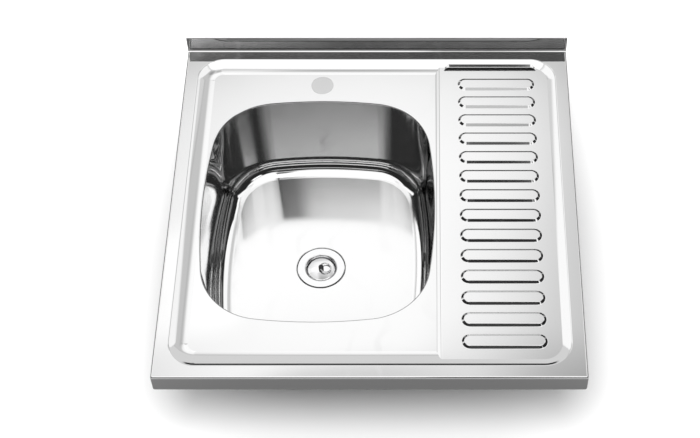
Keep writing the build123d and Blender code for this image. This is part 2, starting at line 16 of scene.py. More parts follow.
import bmesh
import bpy
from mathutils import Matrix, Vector

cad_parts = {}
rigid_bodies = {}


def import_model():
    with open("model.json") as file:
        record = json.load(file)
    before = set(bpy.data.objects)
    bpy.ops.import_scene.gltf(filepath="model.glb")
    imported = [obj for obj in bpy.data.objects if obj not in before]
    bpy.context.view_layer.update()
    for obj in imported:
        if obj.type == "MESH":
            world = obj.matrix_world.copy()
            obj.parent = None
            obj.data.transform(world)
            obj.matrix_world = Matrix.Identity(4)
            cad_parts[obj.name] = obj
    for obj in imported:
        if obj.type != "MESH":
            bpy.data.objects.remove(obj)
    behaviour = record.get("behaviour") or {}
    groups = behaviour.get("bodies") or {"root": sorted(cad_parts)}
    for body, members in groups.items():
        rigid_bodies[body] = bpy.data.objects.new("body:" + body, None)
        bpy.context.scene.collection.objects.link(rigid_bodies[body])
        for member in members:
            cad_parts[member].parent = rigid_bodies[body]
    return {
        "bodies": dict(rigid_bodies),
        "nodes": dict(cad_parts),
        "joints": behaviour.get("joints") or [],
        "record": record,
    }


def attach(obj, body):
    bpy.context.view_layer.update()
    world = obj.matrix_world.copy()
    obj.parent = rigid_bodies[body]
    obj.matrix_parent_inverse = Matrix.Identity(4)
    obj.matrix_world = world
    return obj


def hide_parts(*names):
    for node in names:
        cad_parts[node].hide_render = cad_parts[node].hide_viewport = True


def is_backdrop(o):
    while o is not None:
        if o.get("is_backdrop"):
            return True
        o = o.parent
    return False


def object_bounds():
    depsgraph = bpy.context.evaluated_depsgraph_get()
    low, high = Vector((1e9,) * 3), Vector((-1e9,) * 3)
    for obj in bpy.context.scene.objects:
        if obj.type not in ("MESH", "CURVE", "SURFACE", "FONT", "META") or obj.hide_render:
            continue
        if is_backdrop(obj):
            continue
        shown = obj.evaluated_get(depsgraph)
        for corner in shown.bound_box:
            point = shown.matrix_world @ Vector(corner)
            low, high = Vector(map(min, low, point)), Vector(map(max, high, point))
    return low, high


LOG = logging.getLogger("sink_top")
MM = 0.001

Colour = tuple[float, float, float]
Point = tuple[float, float, float]
Socket = bpy.types.NodeSocket


def rgba(colour: Colour) -> tuple[float, float, float, float]:
    """Colour with full opacity."""
    return (*colour, 1.0)


def stand(name: str, data: bpy.types.ID) -> bpy.types.Object:
    """Put an object with this data into the scene, at the world's origin."""
    thing = bpy.data.objects.new(name, data)
    bpy.context.scene.collection.objects.link(thing)
    return thing


# ------------------------------------------------------------------ node building
class NodeSheet:
    """Short way of writing down the nodes of one tree."""

    def __init__(self, tree: bpy.types.NodeTree) -> None:
        """Start writing in a tree.

        Args:
            tree: The shader or geometry node tree to fill.
        """
        self.tree = tree

    def put(
        self, kind: str, inputs: dict[Any, Any] | None = None, **settings: Any
    ) -> bpy.types.Node:
        """Add a node, set its options, and fill or link its inputs.

        Args:
            kind: Node type name.
            inputs: Socket name or index against a value or an output socket.
            settings: Node options such as operation or data_type.

        Returns:
            The new node.
        """
        node = self.tree.nodes.new(kind)
        for option, value in settings.items():
            setattr(node, option, value)
        for key, value in (inputs or {}).items():
            socket = node.inputs[key]
            if isinstance(value, Socket):
                self.tree.links.new(value, socket)
            else:
                socket.default_value = value
        return node

    def math(self, operation: str, first: Any, second: Any = 0.0, third: Any = 0.0) -> Socket:
        """Result of a math node."""
        inputs = {0: first, 1: second, 2: third}
        return self.put("ShaderNodeMath", inputs, operation=operation).outputs[0]

    def vector(self, operation: str, first: Any, second: Any = None) -> bpy.types.Node:
        """Vector math node of one or two vectors."""
        inputs = {0: first} if second is None else {0: first, 1: second}
        return self.put("ShaderNodeVectorMath", inputs, operation=operation)

    def group(self, tree: bpy.types.NodeTree, values: dict[str, Any]) -> bpy.types.Node:
        """Shared effect placed with its own values."""
        return self.put("ShaderNodeGroup", values, node_tree=tree)

    def ramp(
        self, value: Any, low: float, high: float, start: float = 0.0, end: float = 1.0
    ) -> Socket:
        """Value eased from start to end while the input goes from low to high."""
        node = self.put(
            "ShaderNodeMapRange",
            {"Value": value, "From Min": low, "From Max": high, "To Min": start, "To Max": end},
            interpolation_type="SMOOTHSTEP",
        )
        return node.outputs["Result"]


def blank_sheet(owner: bpy.types.Material | bpy.types.World) -> NodeSheet:
    """Empty sheet of nodes for a material or a world."""
    owner.use_nodes = True
    owner.node_tree.nodes.clear()
    return NodeSheet(owner.node_tree)


def colour_mix(sheet: NodeSheet, factor: Any, first: Any, second: Any) -> Socket:
    """Mix two colours, with plain colours or sockets on either side.

    Args:
        sheet: The tree to write in.
        factor: Share of the second colour.
        first: Colour or colour socket at factor 0.
        second: Colour or colour socket at factor 1.

    Returns:
        The mixed colour's socket.
    """
    node = sheet.put("ShaderNodeMix", data_type="RGBA")
    low, high = [socket for socket in node.inputs if socket.type == "RGBA"]
    for socket, value in ((node.inputs[0], factor), (low, first), (high, second)):
        if isinstance(value, Socket):
            sheet.tree.links.new(value, socket)
        elif socket.type == "RGBA":
            socket.default_value = rgba(value)
        else:
            socket.default_value = value
    return [socket for socket in node.outputs if socket.type == "RGBA"][0]


def shader_group(
    name: str,
    takes: dict[str, Any],
    gives: dict[str, str],
    build: Callable[[NodeSheet, Any], dict[str, Socket]],
) -> bpy.types.NodeTree:
    """Make a shader node group with named sockets.

    Args:
        name: The group's name.
        takes: Input names against their default values, where a tuple means a vector.
        gives: Output names against socket types.
        build: Fills the group, and returns a socket for each output name.

    Returns:
        The node group.
    """
    group = bpy.data.node_groups.new(name, "ShaderNodeTree")
    for label, value in takes.items():
        kind = "NodeSocketVector" if isinstance(value, tuple) else "NodeSocketFloat"
        socket = group.interface.new_socket(label, in_out="INPUT", socket_type=kind)
        socket.default_value = value
    for label, kind in gives.items():
        group.interface.new_socket(label, in_out="OUTPUT", socket_type=kind)
    sheet = NodeSheet(group)
    results = build(sheet, sheet.put("NodeGroupInput").outputs)
    sheet.put("NodeGroupOutput", results)
    return group


# ------------------------------------------------------------------ shared effects
EDGE_LEAN = (0.02, 0.22)
EDGE_CHIP_SCALE = 420.0
GRAIN_SHARE = 0.7
PATCH_SHARE = 0.6
PATCH_SCALE = 9.0
LEAST_ROUGHNESS = 0.01
WIPE_CREST = (0.86, 1.0)
WIPE_CLOUD_SCALE = 14.0
FINE_GRIT_SCALE = 900.0


class Effect(Enum):
    """Surface effects that more than one finish uses."""

    EDGE_WEAR = "edge_wear"
    POLISH_GRAIN = "polish_grain"
    SHEET_WAVE = "sheet_wave"
    HANDLING = "handling_marks"
    SPECKLE = "speckle"


def fill_edge_wear(sheet: NodeSheet, given: Any) -> dict[str, Socket]:
    """Mask of the outer edges, from how far a bevelled normal leans away from the real one."""
    soft = sheet.put("ShaderNodeBevel", {"Radius": given["Width"]}, samples=4)
    hard = sheet.put("ShaderNodeNewGeometry")
    match = sheet.vector("DOT_PRODUCT", soft.outputs["Normal"], hard.outputs["Normal"])
    bent = sheet.math("SUBTRACT", 1.0, match.outputs["Value"])
    chips = {"Vector": given["Vector"], "Scale": EDGE_CHIP_SCALE, "Detail": 2.0}
    broken = sheet.put("ShaderNodeTexNoise", chips).outputs["Fac"]
    share = sheet.math("MULTIPLY", sheet.ramp(bent, *EDGE_LEAN), sheet.ramp(broken, 0.3, 0.6))
    return {"Mask": sheet.math("MULTIPLY", share, given["Amount"])}


def fill_polish_grain(sheet: NodeSheet, given: Any) -> dict[str, Socket]:
    """Faint lines of the polishing wheel: a stretched noise for the roughness and the height."""
    place = sheet.put("ShaderNodeMapping", {"Vector": given["Vector"], "Scale": given["Stretch"]})
    lines = sheet.put(
        "ShaderNodeTexNoise",
        {"Vector": place.outputs[0], "Scale": given["Scale"], "Detail": 3.0, "Roughness": 0.6},
    )
    clouds = {"Vector": given["Vector"], "Scale": PATCH_SCALE, "Detail": 2.0}
    cloud = sheet.put("ShaderNodeTexNoise", clouds).outputs["Fac"]
    line = sheet.math("MULTIPLY", sheet.math("SUBTRACT", lines.outputs["Fac"], 0.5), GRAIN_SHARE)
    patch = sheet.math("MULTIPLY", sheet.math("SUBTRACT", cloud, 0.5), PATCH_SHARE)
    both = sheet.math("ADD", line, patch)
    rough = sheet.math("MULTIPLY_ADD", both, given["Spread"], given["Roughness"])
    least = sheet.math("MAXIMUM", rough, LEAST_ROUGHNESS)
    return {"Roughness": least, "Height": lines.outputs["Fac"]}


def fill_sheet_wave(sheet: NodeSheet, given: Any) -> dict[str, Socket]:
    """Slow swell that a pressed sheet keeps, in metres, for the reflections to bend in."""
    slow = {"Vector": given["Vector"], "Scale": given["Scale"], "Detail": 1.0}
    swell = sheet.put("ShaderNodeTexNoise", slow)
    centred = sheet.math("SUBTRACT", swell.outputs["Fac"], 0.5)
    return {"Height": sheet.math("MULTIPLY", centred, given["Depth"])}


def fill_handling(sheet: NodeSheet, given: Any) -> dict[str, Socket]:
    """Thin wiping marks: a distorted wave cut to its crests and broken up by a cloud."""
    place = {"Vector": given["Vector"], "Scale": given["Scale"]}
    bends = {"Distortion": 9.0, "Detail": 3.0, "Detail Scale": 1.4}
    wave = sheet.put("ShaderNodeTexWave", {**place, **bends})
    clouds = {"Vector": given["Vector"], "Scale": WIPE_CLOUD_SCALE, "Detail": 3.0}
    cloud = sheet.put("ShaderNodeTexNoise", clouds)
    crest = sheet.ramp(wave.outputs["Fac"], *WIPE_CREST)
    share = sheet.math("MULTIPLY", crest, sheet.ramp(cloud.outputs["Fac"], 0.45, 0.7))
    return {"Mask": sheet.math("MULTIPLY", share, given["Amount"])}


def fill_speckle(sheet: NodeSheet, given: Any) -> dict[str, Socket]:
    """Cells of differing tone, as zinc crystals or mineral grains show."""
    cells = sheet.put("ShaderNodeTexVoronoi", {"Vector": given["Vector"], "Scale": given["Scale"]})
    tone = sheet.put("ShaderNodeSeparateColor", {"Color": cells.outputs["Color"]}).outputs[0]
    grit = {"Vector": given["Vector"], "Scale": FINE_GRIT_SCALE, "Detail": 2.0}
    fine = sheet.put("ShaderNodeTexNoise", grit)
    return {"Tone": tone, "Height": sheet.math("MULTIPLY_ADD", tone, 0.4, fine.outputs["Fac"])}


def build_effects() -> dict[Effect, bpy.types.NodeTree]:
    """Build each shared effect once."""
    origin = (0.0, 0.0, 0.0)
    number = "NodeSocketFloat"
    mask, height = {"Mask": number}, {"Height": number}
    grain = {"Stretch": (1.0, 1.0, 1.0), "Scale": 90.0, "Spread": 0.03, "Roughness": 0.08}
    recipes = (
        (Effect.EDGE_WEAR, {"Width": 0.4 * MM, "Amount": 1.0}, mask, fill_edge_wear),
        (Effect.POLISH_GRAIN, grain, {"Roughness": number, **height}, fill_polish_grain),
        (Effect.SHEET_WAVE, {"Scale": 7.0, "Depth": 0.3 * MM}, height, fill_sheet_wave),
        (Effect.HANDLING, {"Scale": 5.0, "Amount": 1.0}, mask, fill_handling),
        (Effect.SPECKLE, {"Scale": 120.0}, {"Tone": number, **height}, fill_speckle),
    )
    return {
        effect: shader_group(effect.value, {"Vector": origin, **takes}, gives, build)
        for effect, takes, gives, build in recipes
    }


# ------------------------------------------------------------------ finishes
@dataclass(frozen=True)
class Finish:
    """What every finish has: a name, a colour and a roughness, and a material made from them."""

    name: str
    colour: Colour
    roughness: float
    wear: float = 0.5
    wear_width: float = 0.4 * MM
    bump: float = 0.02

    def begin(self) -> tuple[bpy.types.Material, NodeSheet, bpy.types.Node, Socket]:
        """Start the material.

        Returns:
            The material, its sheet of nodes, its surface shader, and the object coordinates.
        """
        material = bpy.data.materials.new(self.name)
        sheet = blank_sheet(material)
        surface = sheet.put("ShaderNodeBsdfPrincipled")
        sheet.put("ShaderNodeOutputMaterial", {"Surface": surface.outputs[0]})
        where = sheet.put("ShaderNodeTexCoord").outputs["Object"]
        return material, sheet, surface, where

    @staticmethod
    def coat(sheet: NodeSheet, surface: bpy.types.Node, colour: Socket, rough: Socket) -> None:
        """Link the colour and the roughness to the surface shader."""
        sheet.tree.links.new(colour, surface.inputs["Base Color"])
        sheet.tree.links.new(rough, surface.inputs["Roughness"])

    def worn_edges(self, sheet: NodeSheet, where: Any, group: bpy.types.NodeTree) -> Socket:
        """Edge mask with this finish's own width and amount."""
        values = {"Vector": where, "Width": self.wear_width, "Amount": self.wear}
        return sheet.group(group, values).outputs["Mask"]

    def raise_surface(
        self, sheet: NodeSheet, surface: bpy.types.Node, height: Any, distance: float
    ) -> None:
        """Give the surface a small relief.

        Args:
            sheet: The material's nodes.
            surface: Its surface shader.
            height: Height socket.
            distance: Metres that one unit of height stands for.
        """
        inputs = {"Strength": self.bump, "Distance": distance, "Height": height}
        bump = sheet.put("ShaderNodeBump", inputs)
        sheet.tree.links.new(bump.outputs[0], surface.inputs["Normal"])


@dataclass(frozen=True)
class PolishedSteel(Finish):
    """Stainless sheet with a bright polish and faint lines along its rolling direction."""

    bump: float = 1.0
    worn_colour: Colour = (0.97, 0.97, 0.97)
    spread: float = 0.03
    stretch: Point = (1.0, 14.0, 1.0)
    grain_scale: float = 60.0
    grain_depth: float = 0.0004 * MM
    wave_scale: float = 7.0
    wave_depth: float = 0.15 * MM
    satin: float = 0.0
    satin_from: float = 0.0
    satin_to: float = -1.0
    disc_radius: float = 0.0
    disc_place: Point = (0.0, 0.0, 0.0)
    # Grey on the tap's knock-out: painted shade, standing in for the dark inside of a tap hole.
    disc_shade_colour: Colour = (0.74, 0.74, 0.74)
    disc_dulling: float = 0.1
    disc_edge: float = 0.4 * MM
    wiping: float = 0.03

    def make(self, groups: dict[Effect, bpy.types.NodeTree]) -> bpy.types.Material:
        """Build the material from the shared effects."""
        material, sheet, surface, where = self.begin()
        surface.inputs["Metallic"].default_value = 1.0
        grain = sheet.group(
            groups[Effect.POLISH_GRAIN],
            {
                "Vector": where,
                "Stretch": self.stretch,
                "Scale": self.grain_scale,
                "Spread": self.spread,
                "Roughness": self.roughness,
            },
        )
        marks = sheet.group(groups[Effect.HANDLING], {"Vector": where, "Amount": self.wiping})
        rough = sheet.math("ADD", grain.outputs["Roughness"], marks.outputs["Mask"])
        if self.satin:
            level = sheet.put("ShaderNodeSeparateXYZ", {0: where}).outputs["Z"]
            dulling = sheet.ramp(level, self.satin_to, self.satin_from, self.satin, 0.0)
            rough = sheet.math("ADD", rough, dulling)
        edges = self.worn_edges(sheet, where, groups[Effect.EDGE_WEAR])
        colour = colour_mix(sheet, edges, self.colour, self.worn_colour)
        # Tap knock-out: grey painted shade in the colour, and a duller roughness.
        if self.disc_radius:
            inside = self.disc_mask(sheet, where)
            colour = colour_mix(sheet, inside, colour, self.disc_shade_colour)
            rough = sheet.math("MULTIPLY_ADD", inside, self.disc_dulling, rough)
        self.coat(sheet, surface, colour, rough)
        wave = {"Vector": where, "Scale": self.wave_scale, "Depth": self.wave_depth}
        swell = sheet.group(groups[Effect.SHEET_WAVE], wave)
        fine = sheet.math("MULTIPLY", grain.outputs["Height"], self.grain_depth)
        height = sheet.math("ADD", swell.outputs["Height"], fine)
        self.raise_surface(sheet, surface, height, 1.0)
        return material

    def disc_mask(self, sheet: NodeSheet, where: Any) -> Socket:
        """Mask of the round knock-out for a tap, which gets a grey painted shade and a duller
        roughness.
        """
        offset = sheet.vector("SUBTRACT", where, self.disc_place).outputs[0]
        level = sheet.vector("MULTIPLY", offset, (1.0, 1.0, 0.0)).outputs[0]
        away = sheet.vector("LENGTH", level).outputs["Value"]
        return sheet.ramp(away, self.disc_radius - self.disc_edge, self.disc_radius, 1.0, 0.0)


@dataclass(frozen=True)
class ZincPlate(Finish):
    """Zinc-coated steel with crystals of slightly differing grey."""

    dull_colour: Colour = (0.42, 0.44, 0.46)
    bare_colour: Colour = (0.8, 0.81, 0.82)
    crystal_scale: float = 160.0
    crystal_spread: float = 0.16
    relief: float = 0.05 * MM

    def make(self, groups: dict[Effect, bpy.types.NodeTree]) -> bpy.types.Material:
        """Build the material from the shared effects."""
        material, sheet, surface, where = self.begin()
        surface.inputs["Metallic"].default_value = 1.0
        cells = sheet.group(groups[Effect.SPECKLE], {"Vector": where, "Scale": self.crystal_scale})
        tone = cells.outputs["Tone"]
        body = colour_mix(sheet, tone, self.dull_colour, self.colour)
        edges = self.worn_edges(sheet, where, groups[Effect.EDGE_WEAR])
        colour = colour_mix(sheet, edges, body, self.bare_colour)
        rough = sheet.math("MULTIPLY_ADD", tone, self.crystal_spread, self.roughness)
        self.coat(sheet, surface, colour, rough)
        self.raise_surface(sheet, surface, cells.outputs["Height"], self.relief)
        return material


@dataclass(frozen=True)
class Moulded(Finish):
    """Rubber, plastic or bitumen: not metallic, with a fine skin and grains of another tone."""

    fleck_colour: Colour = (0.5, 0.5, 0.5)
    fleck_share: float = 0.12
    fleck_scale: float = 400.0
    fleck_tones: tuple[float, float] = (0.55, 1.0)
    fleck_spread: float = 0.08
    relief: float = 0.06 * MM

    def make(self, groups: dict[Effect, bpy.types.NodeTree]) -> bpy.types.Material:
        """Build the material from the shared effects."""
        material, sheet, surface, where = self.begin()
        cells = sheet.group(groups[Effect.SPECKLE], {"Vector": where, "Scale": self.fleck_scale})
        tone = cells.outputs["Tone"]
        share = sheet.math("MULTIPLY", sheet.ramp(tone, *self.fleck_tones), self.fleck_share)
        body = colour_mix(sheet, share, self.colour, self.fleck_colour)
        edges = self.worn_edges(sheet, where, groups[Effect.EDGE_WEAR])
        pale = tuple(min(1.0, 0.75 * part + 0.2) for part in self.colour)
        rough = sheet.math("MULTIPLY_ADD", tone, self.fleck_spread, self.roughness)
        self.coat(sheet, surface, colour_mix(sheet, edges, body, pale), rough)
        self.raise_surface(sheet, surface, cells.outputs["Height"], self.relief)
        return material


FINISHES: dict[str, Finish] = {
    "deck_steel": PolishedSteel(
        "deck_steel",
        (0.91, 0.91, 0.91),
        0.05,
        wear=0.3,
        disc_radius=17.5 * MM,
        disc_place=(-84.5 * MM, 231.5 * MM, 0.0),
    ),
    "bowl_steel": PolishedSteel(
        "bowl_steel",
        (0.97, 0.97, 0.97),
        0.04,
        wear=0.2,
        stretch=(14.0, 14.0, 1.0),
        satin=0.09,
        satin_from=-124 * MM,
        satin_to=-126.9 * MM,
    ),
    "sound_pad": Moulded("sound_pad", (0.035, 0.035, 0.04), 0.72, bump=0.5, fleck_share=0.25),
    "galvanised": ZincPlate("galvanised", (0.62, 0.64, 0.66), 0.3, bump=0.15),
    "waste_steel": PolishedSteel("waste_steel", (0.92, 0.92, 0.925), 0.035, grain_scale=120.0),
    "rubber": Moulded("rubber", (0.03, 0.03, 0.032), 0.55, bump=0.25, wear=0.25),
    "waste_plastic": Moulded("waste_plastic", (0.82, 0.82, 0.79), 0.38, bump=0.1, fleck_share=0.04),
    "brass": PolishedSteel(
        "brass", (0.8, 0.6, 0.28), 0.22, worn_colour=(0.95, 0.8, 0.5), stretch=(1.0, 1.0, 8.0)
    ),
    "screw_steel": PolishedSteel("screw_steel", (0.78, 0.78, 0.78), 0.2, stretch=(1.0, 1.0, 8.0)),
    "post_plastic": Moulded(
        "post_plastic", (0.012, 0.012, 0.013), 0.42, bump=0.05, wear=0.1, fleck_share=0.0
    ),
    "plug_chrome": PolishedSteel("plug_chrome", (0.93, 0.93, 0.935), 0.03, grain_scale=140.0),
}


# ------------------------------------------------------------------ geometry trees
THREAD_RUN_OUT = 0.05
THREAD_END_SIZE = 0.15
BEAD_SPREAD = {"Min": 0.85, "Max": 1.1}
BEAD_FACETS = {"Segments": 8, "Rings": 5, "Radius": 1.0}
STUD_FACETS = {"Segments": 12, "Rings": 6, "Radius": 1.0}


def geometry_tree(
    name: str,
    takes: dict[str, tuple[str, Any]],
    build: Callable[[NodeSheet, Any], Socket],
) -> bpy.types.NodeTree:
    """Make a geometry node tree that ends in Realize Instances and Set Material.

    Args:
        name: The tree's name.
        takes: Input names against their socket type and default value.
        build: Builds the shape, and returns its geometry socket.

    Returns:
        The tree, with the inputs Geometry and Material besides those asked for.
    """
    tree = bpy.data.node_groups.new(name, "GeometryNodeTree")
    tree.is_modifier = True
    tree.interface.new_socket("Geometry", in_out="INPUT", socket_type="NodeSocketGeometry")
    for label, (kind, value) in takes.items():
        socket = tree.interface.new_socket(label, in_out="INPUT", socket_type=kind)
        socket.default_value = value
    tree.interface.new_socket("Material", in_out="INPUT", socket_type="NodeSocketMaterial")
    tree.interface.new_socket("Geometry", in_out="OUTPUT", socket_type="NodeSocketGeometry")
    sheet = NodeSheet(tree)
    given = sheet.put("NodeGroupInput").outputs
    real = sheet.put("GeometryNodeRealizeInstances", {"Geometry": build(sheet, given)})
    coat = {"Geometry": real.outputs[0], "Material": given["Material"]}
    dressed = sheet.put("GeometryNodeSetMaterial", coat)
    sheet.put("NodeGroupOutput", {"Geometry": dressed.outputs[0]})
    return tree


def build_thread(sheet: NodeSheet, given: Any) -> Socket:
    """Ridge of a screw thread: a trapezoid swept along a helix, tapered off at both ends."""
    helix = sheet.put(
        "GeometryNodeCurveSpiral",
        {
            "Resolution": given["Steps"],
            "Rotations": given["Turns"],
            "Start Radius": given["Root Radius"],
            "End Radius": given["Root Radius"],
            "Height": given["Length"],
        },
    )
    upright = sheet.put("GeometryNodeSetCurveNormal", {"Curve": helix.outputs[0]}, mode="Z_UP")
    along = sheet.put("GeometryNodeSplineParameter").outputs["Factor"]
    from_end = sheet.math("MINIMUM", along, sheet.math("SUBTRACT", 1.0, along))
    size = sheet.ramp(from_end, 0.0, THREAD_RUN_OUT, THREAD_END_SIZE, 1.0)
    tapered = sheet.put("GeometryNodeSetCurveRadius", {"Curve": upright.outputs[0], "Radius": size})
    profile = sheet.put(
        "GeometryNodeCurvePrimitiveQuadrilateral",
        {
            "Height": given["Depth"],
            "Bottom Width": given["Base Width"],
            "Top Width": given["Crest Width"],
            "Offset": 0.0,
        },
        mode="TRAPEZOID",
    )
    turned = sheet.put(
        "GeometryNodeTransform",
        {"Geometry": profile.outputs[0], "Rotation": (0.0, 0.0, math.pi / 2)},
    )
    ridge = sheet.put(
        "GeometryNodeCurveToMesh",
        {"Curve": tapered.outputs[0], "Profile Curve": turned.outputs[0], "Fill Caps": True},
    )
    move = {"Geometry": ridge.outputs[0], "Translation": given["Place"]}
    return sheet.put("GeometryNodeTransform", move).outputs[0]


def build_bead(sheet: NodeSheet, given: Any) -> Socket:
    """Seam weld: overlapping scales of weld metal along the line that comes in."""
    path = sheet.put("GeometryNodeMeshToCurve", {"Mesh": given["Geometry"]})
    steps = sheet.put(
        "GeometryNodeResampleCurve",
        {"Curve": path.outputs[0], "Length": given["Pitch"]},
        mode="LENGTH",
    )
    scale = sheet.put("GeometryNodeMeshUVSphere", BEAD_FACETS)
    run = sheet.put("GeometryNodeInputTangent")
    facing = sheet.put("FunctionNodeAlignRotationToVector", {"Vector": run.outputs[0]}, axis="X")
    uneven = sheet.put(
        "FunctionNodeRandomValue",
        {**BEAD_SPREAD, "Seed": given["Seed"]},
        data_type="FLOAT",
    )
    size = sheet.vector("SCALE", given["Scale Size"])
    amount = [socket for socket in uneven.outputs if socket.enabled][0]
    sheet.tree.links.new(amount, size.inputs["Scale"])
    laid = sheet.put(
        "GeometryNodeInstanceOnPoints",
        {
            "Points": steps.outputs[0],
            "Instance": scale.outputs[0],
            "Rotation": facing.outputs[0],
            "Scale": size.outputs[0],
        },
    )
    return laid.outputs[0]


def build_studs(sheet: NodeSheet, given: Any) -> Socket:
    """Low domes on a grid, left out round a hole."""
    grid = sheet.put(
        "GeometryNodeMeshGrid",
        {
            "Size X": given["Width"],
            "Size Y": given["Length"],
            "Vertices X": given["Columns"],
            "Vertices Y": given["Rows"],
        },
    )
    move = {"Geometry": grid.outputs[0], "Translation": given["Place"]}
    placed = sheet.put("GeometryNodeTransform", move)
    spot = sheet.put("GeometryNodeInputPosition").outputs[0]
    away = sheet.vector("DISTANCE", spot, given["Hole Place"]).outputs["Value"]
    limits = {0: away, 1: given["Hole Radius"]}
    inside = sheet.put("FunctionNodeCompare", limits, operation="LESS_THAN")
    points = sheet.put(
        "GeometryNodeDeleteGeometry",
        {"Geometry": placed.outputs[0], "Selection": inside.outputs[0]},
        domain="POINT",
    )
    dome = sheet.put("GeometryNodeMeshUVSphere", STUD_FACETS)
    laid = sheet.put(
        "GeometryNodeInstanceOnPoints",
        {"Points": points.outputs[0], "Instance": dome.outputs[0], "Scale": given["Stud Size"]},
    )
    return laid.outputs[0]


class Pattern(Enum):
    """Shapes that the geometry trees make."""

    THREAD = "thread"
    BEAD = "weld_bead"
    STUDS = "studs"


def build_patterns() -> dict[Pattern, bpy.types.NodeTree]:
    """Build each geometry tree once."""
    number, whole, vector = "NodeSocketFloat", "NodeSocketInt", "NodeSocketVector"
    origin = (vector, (0.0, 0.0, 0.0))
    thread = {
        "Steps": (whole, 64),
        "Turns": (number, 10.0),
        "Root Radius": (number, 0.01),
        "Length": (number, 0.02),
        "Depth": (number, 0.001),
        "Base Width": (number, 0.002),
        "Crest Width": (number, 0.0005),
        "Place": origin,
    }
    bead = {"Pitch": (number, 0.002), "Scale Size": origin, "Seed": (whole, 3)}
    studs = {
        "Width": (number, 0.1),
        "Length": (number, 0.1),
        "Columns": (whole, 2),
        "Rows": (whole, 2),
        "Place": origin,
        "Hole Place": origin,
        "Hole Radius": (number, 0.0),
        "Stud Size": origin,
    }
    recipes = (
        (Pattern.THREAD, thread, build_thread),
        (Pattern.BEAD, bead, build_bead),
        (Pattern.STUDS, studs, build_studs),
    )
    return {kind: geometry_tree(kind.value, takes, build) for kind, takes, build in recipes}


# ------------------------------------------------------------------ workshop
@dataclass
class Workshop:
    """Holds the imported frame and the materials, and turns node trees into finished pieces."""

    WELD_DISTANCE = 0.001 * MM
    WALL_TOLERANCE = 0.06 * MM

    frame: dict[str, Any]
    materials: dict[str, bpy.types.Material] = field(default_factory=dict)
    patterns: dict[Pattern, bpy.types.NodeTree] = field(default_factory=dict)

    def mix_finishes(self) -> None:
        """Build a material for each of the record's slots."""
        groups = build_effects()
        for entry in self.frame["record"]["materials"]:
            self.materials[entry["slot"]] = FINISHES[entry["slot"]].make(groups)
        self.patterns = build_patterns()

    def dress(self, node: str, slot: str) -> None:
        """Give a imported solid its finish.

        Args:
            node: The solid's name.
            slot: The material slot's name.
        """
        piece = self.frame["nodes"][node]
        material = self.materials[slot]
        if not piece.material_slots:
            piece.data.materials.append(material)
        for place in piece.material_slots:
            place.material = material
        LOG.info("%s: dressed in %s", node, slot)

    def grow(
        self,
        name: str,
        pattern: Pattern,
        slot: str,
        sizes: dict[str, Any],
        start: bpy.types.Mesh | None = None,
    ) -> bpy.types.Object:
        """Run a geometry tree once and keep its result as a plain mesh.

        Args:
            name: The new piece's name.
            pattern: Which tree makes it.
            slot: The material slot it is dressed in.
            sizes: The tree's inputs by name.
            start: Mesh that goes into the tree, where it needs one.

        Returns:
            The piece, at the world's origin.
        """
        piece = stand(name, start or bpy.data.meshes.new(name))
        growth = piece.modifiers.new("growth", "NODES")
        growth.node_group = self.patterns[pattern]
        given = {**sizes, "Material": self.materials[slot]}
        for item in growth.node_group.interface.items_tree:
            if item.in_out == "INPUT" and item.name in given:
                growth[item.identifier] = given[item.name]
        grown = piece.evaluated_get(bpy.context.evaluated_depsgraph_get())
        mesh = bpy.data.meshes.new_from_object(grown)
        piece.modifiers.remove(growth)
        piece.data = mesh
        LOG.info("%s: %d faces of %s", name, len(mesh.polygons), slot)
        return piece

    def turned_down(
        self,
        node: str,
        name: str,
        axis: Point,
        crest: float,
        root: float,
        low: float,
        high: float,
    ) -> bpy.types.Object:
        """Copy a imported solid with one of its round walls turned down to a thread's root.

        Args:
            node: The solid's name.
            name: The copy's name.
            axis: A point on the wall's axis.
            crest: The wall's radius, which becomes the thread's crest.
            root: Radius to turn it down to.
            low: Lowest level that is turned down.
            high: Highest level that is turned down.

        Returns:
            The copy, which takes the solid's place.
        """
        solid = self.frame["nodes"][node]
        mesh = solid.data.copy()
        form = bmesh.new()
        form.from_mesh(mesh)
        bmesh.ops.remove_doubles(form, verts=form.verts, dist=self.WELD_DISTANCE)
        for corner in form.verts:
            reach = math.hypot(corner.co.x - axis[0], corner.co.y - axis[1])
            if abs(reach - crest) < self.WALL_TOLERANCE and low <= corner.co.z <= high:
                corner.co.x = axis[0] + (corner.co.x - axis[0]) * root / reach
                corner.co.y = axis[1] + (corner.co.y - axis[1]) * root / reach
        form.to_mesh(mesh)
        form.free()
        return stand(name, mesh)


@dataclass(frozen=True)
class Panel:
    """Patch of the studio's light, or a black flag in front of it, as seen from the sink.

    Headings are in degrees from the wall side, growing towards the drainer; heights are
    degrees above the horizon.
    """

    heading: float
    half_width: float
    low: float
    high: float
    strength: float
    soft: float = 5.0
    side_soft: float = 0.0
    flag: bool = False

    def mask(self, sheet: NodeSheet, across: Any, height: Any) -> Socket:
        """Share of this panel in a direction.

        Args:
            sheet: The world's nodes.
            across: Horizontal part of the direction, one unit long.
            height: Degrees above the horizon.

        Returns:
            Socket from 0 outside to 1 inside.
        """
        turn = math.radians(self.heading)
        middle = (math.sin(turn), math.cos(turn), 0.0)
        facing = sheet.vector("DOT_PRODUCT", across, middle).outputs["Value"]
        side_soft = self.side_soft or self.soft
        outer = math.cos(math.radians(min(180.0, self.half_width + side_soft)))
        inner = math.cos(math.radians(max(0.0, self.half_width - side_soft)))
        side = sheet.ramp(facing, outer, inner)
        if self.half_width >= 180.0:
            side = 1.0
        bottom = sheet.ramp(height, self.low - self.soft / 2, self.low + self.soft / 2)
        top = sheet.ramp(height, self.high - self.soft / 2, self.high + self.soft / 2, 1.0, 0.0)
        return sheet.math("MULTIPLY", side, sheet.math("MULTIPLY", bottom, top))


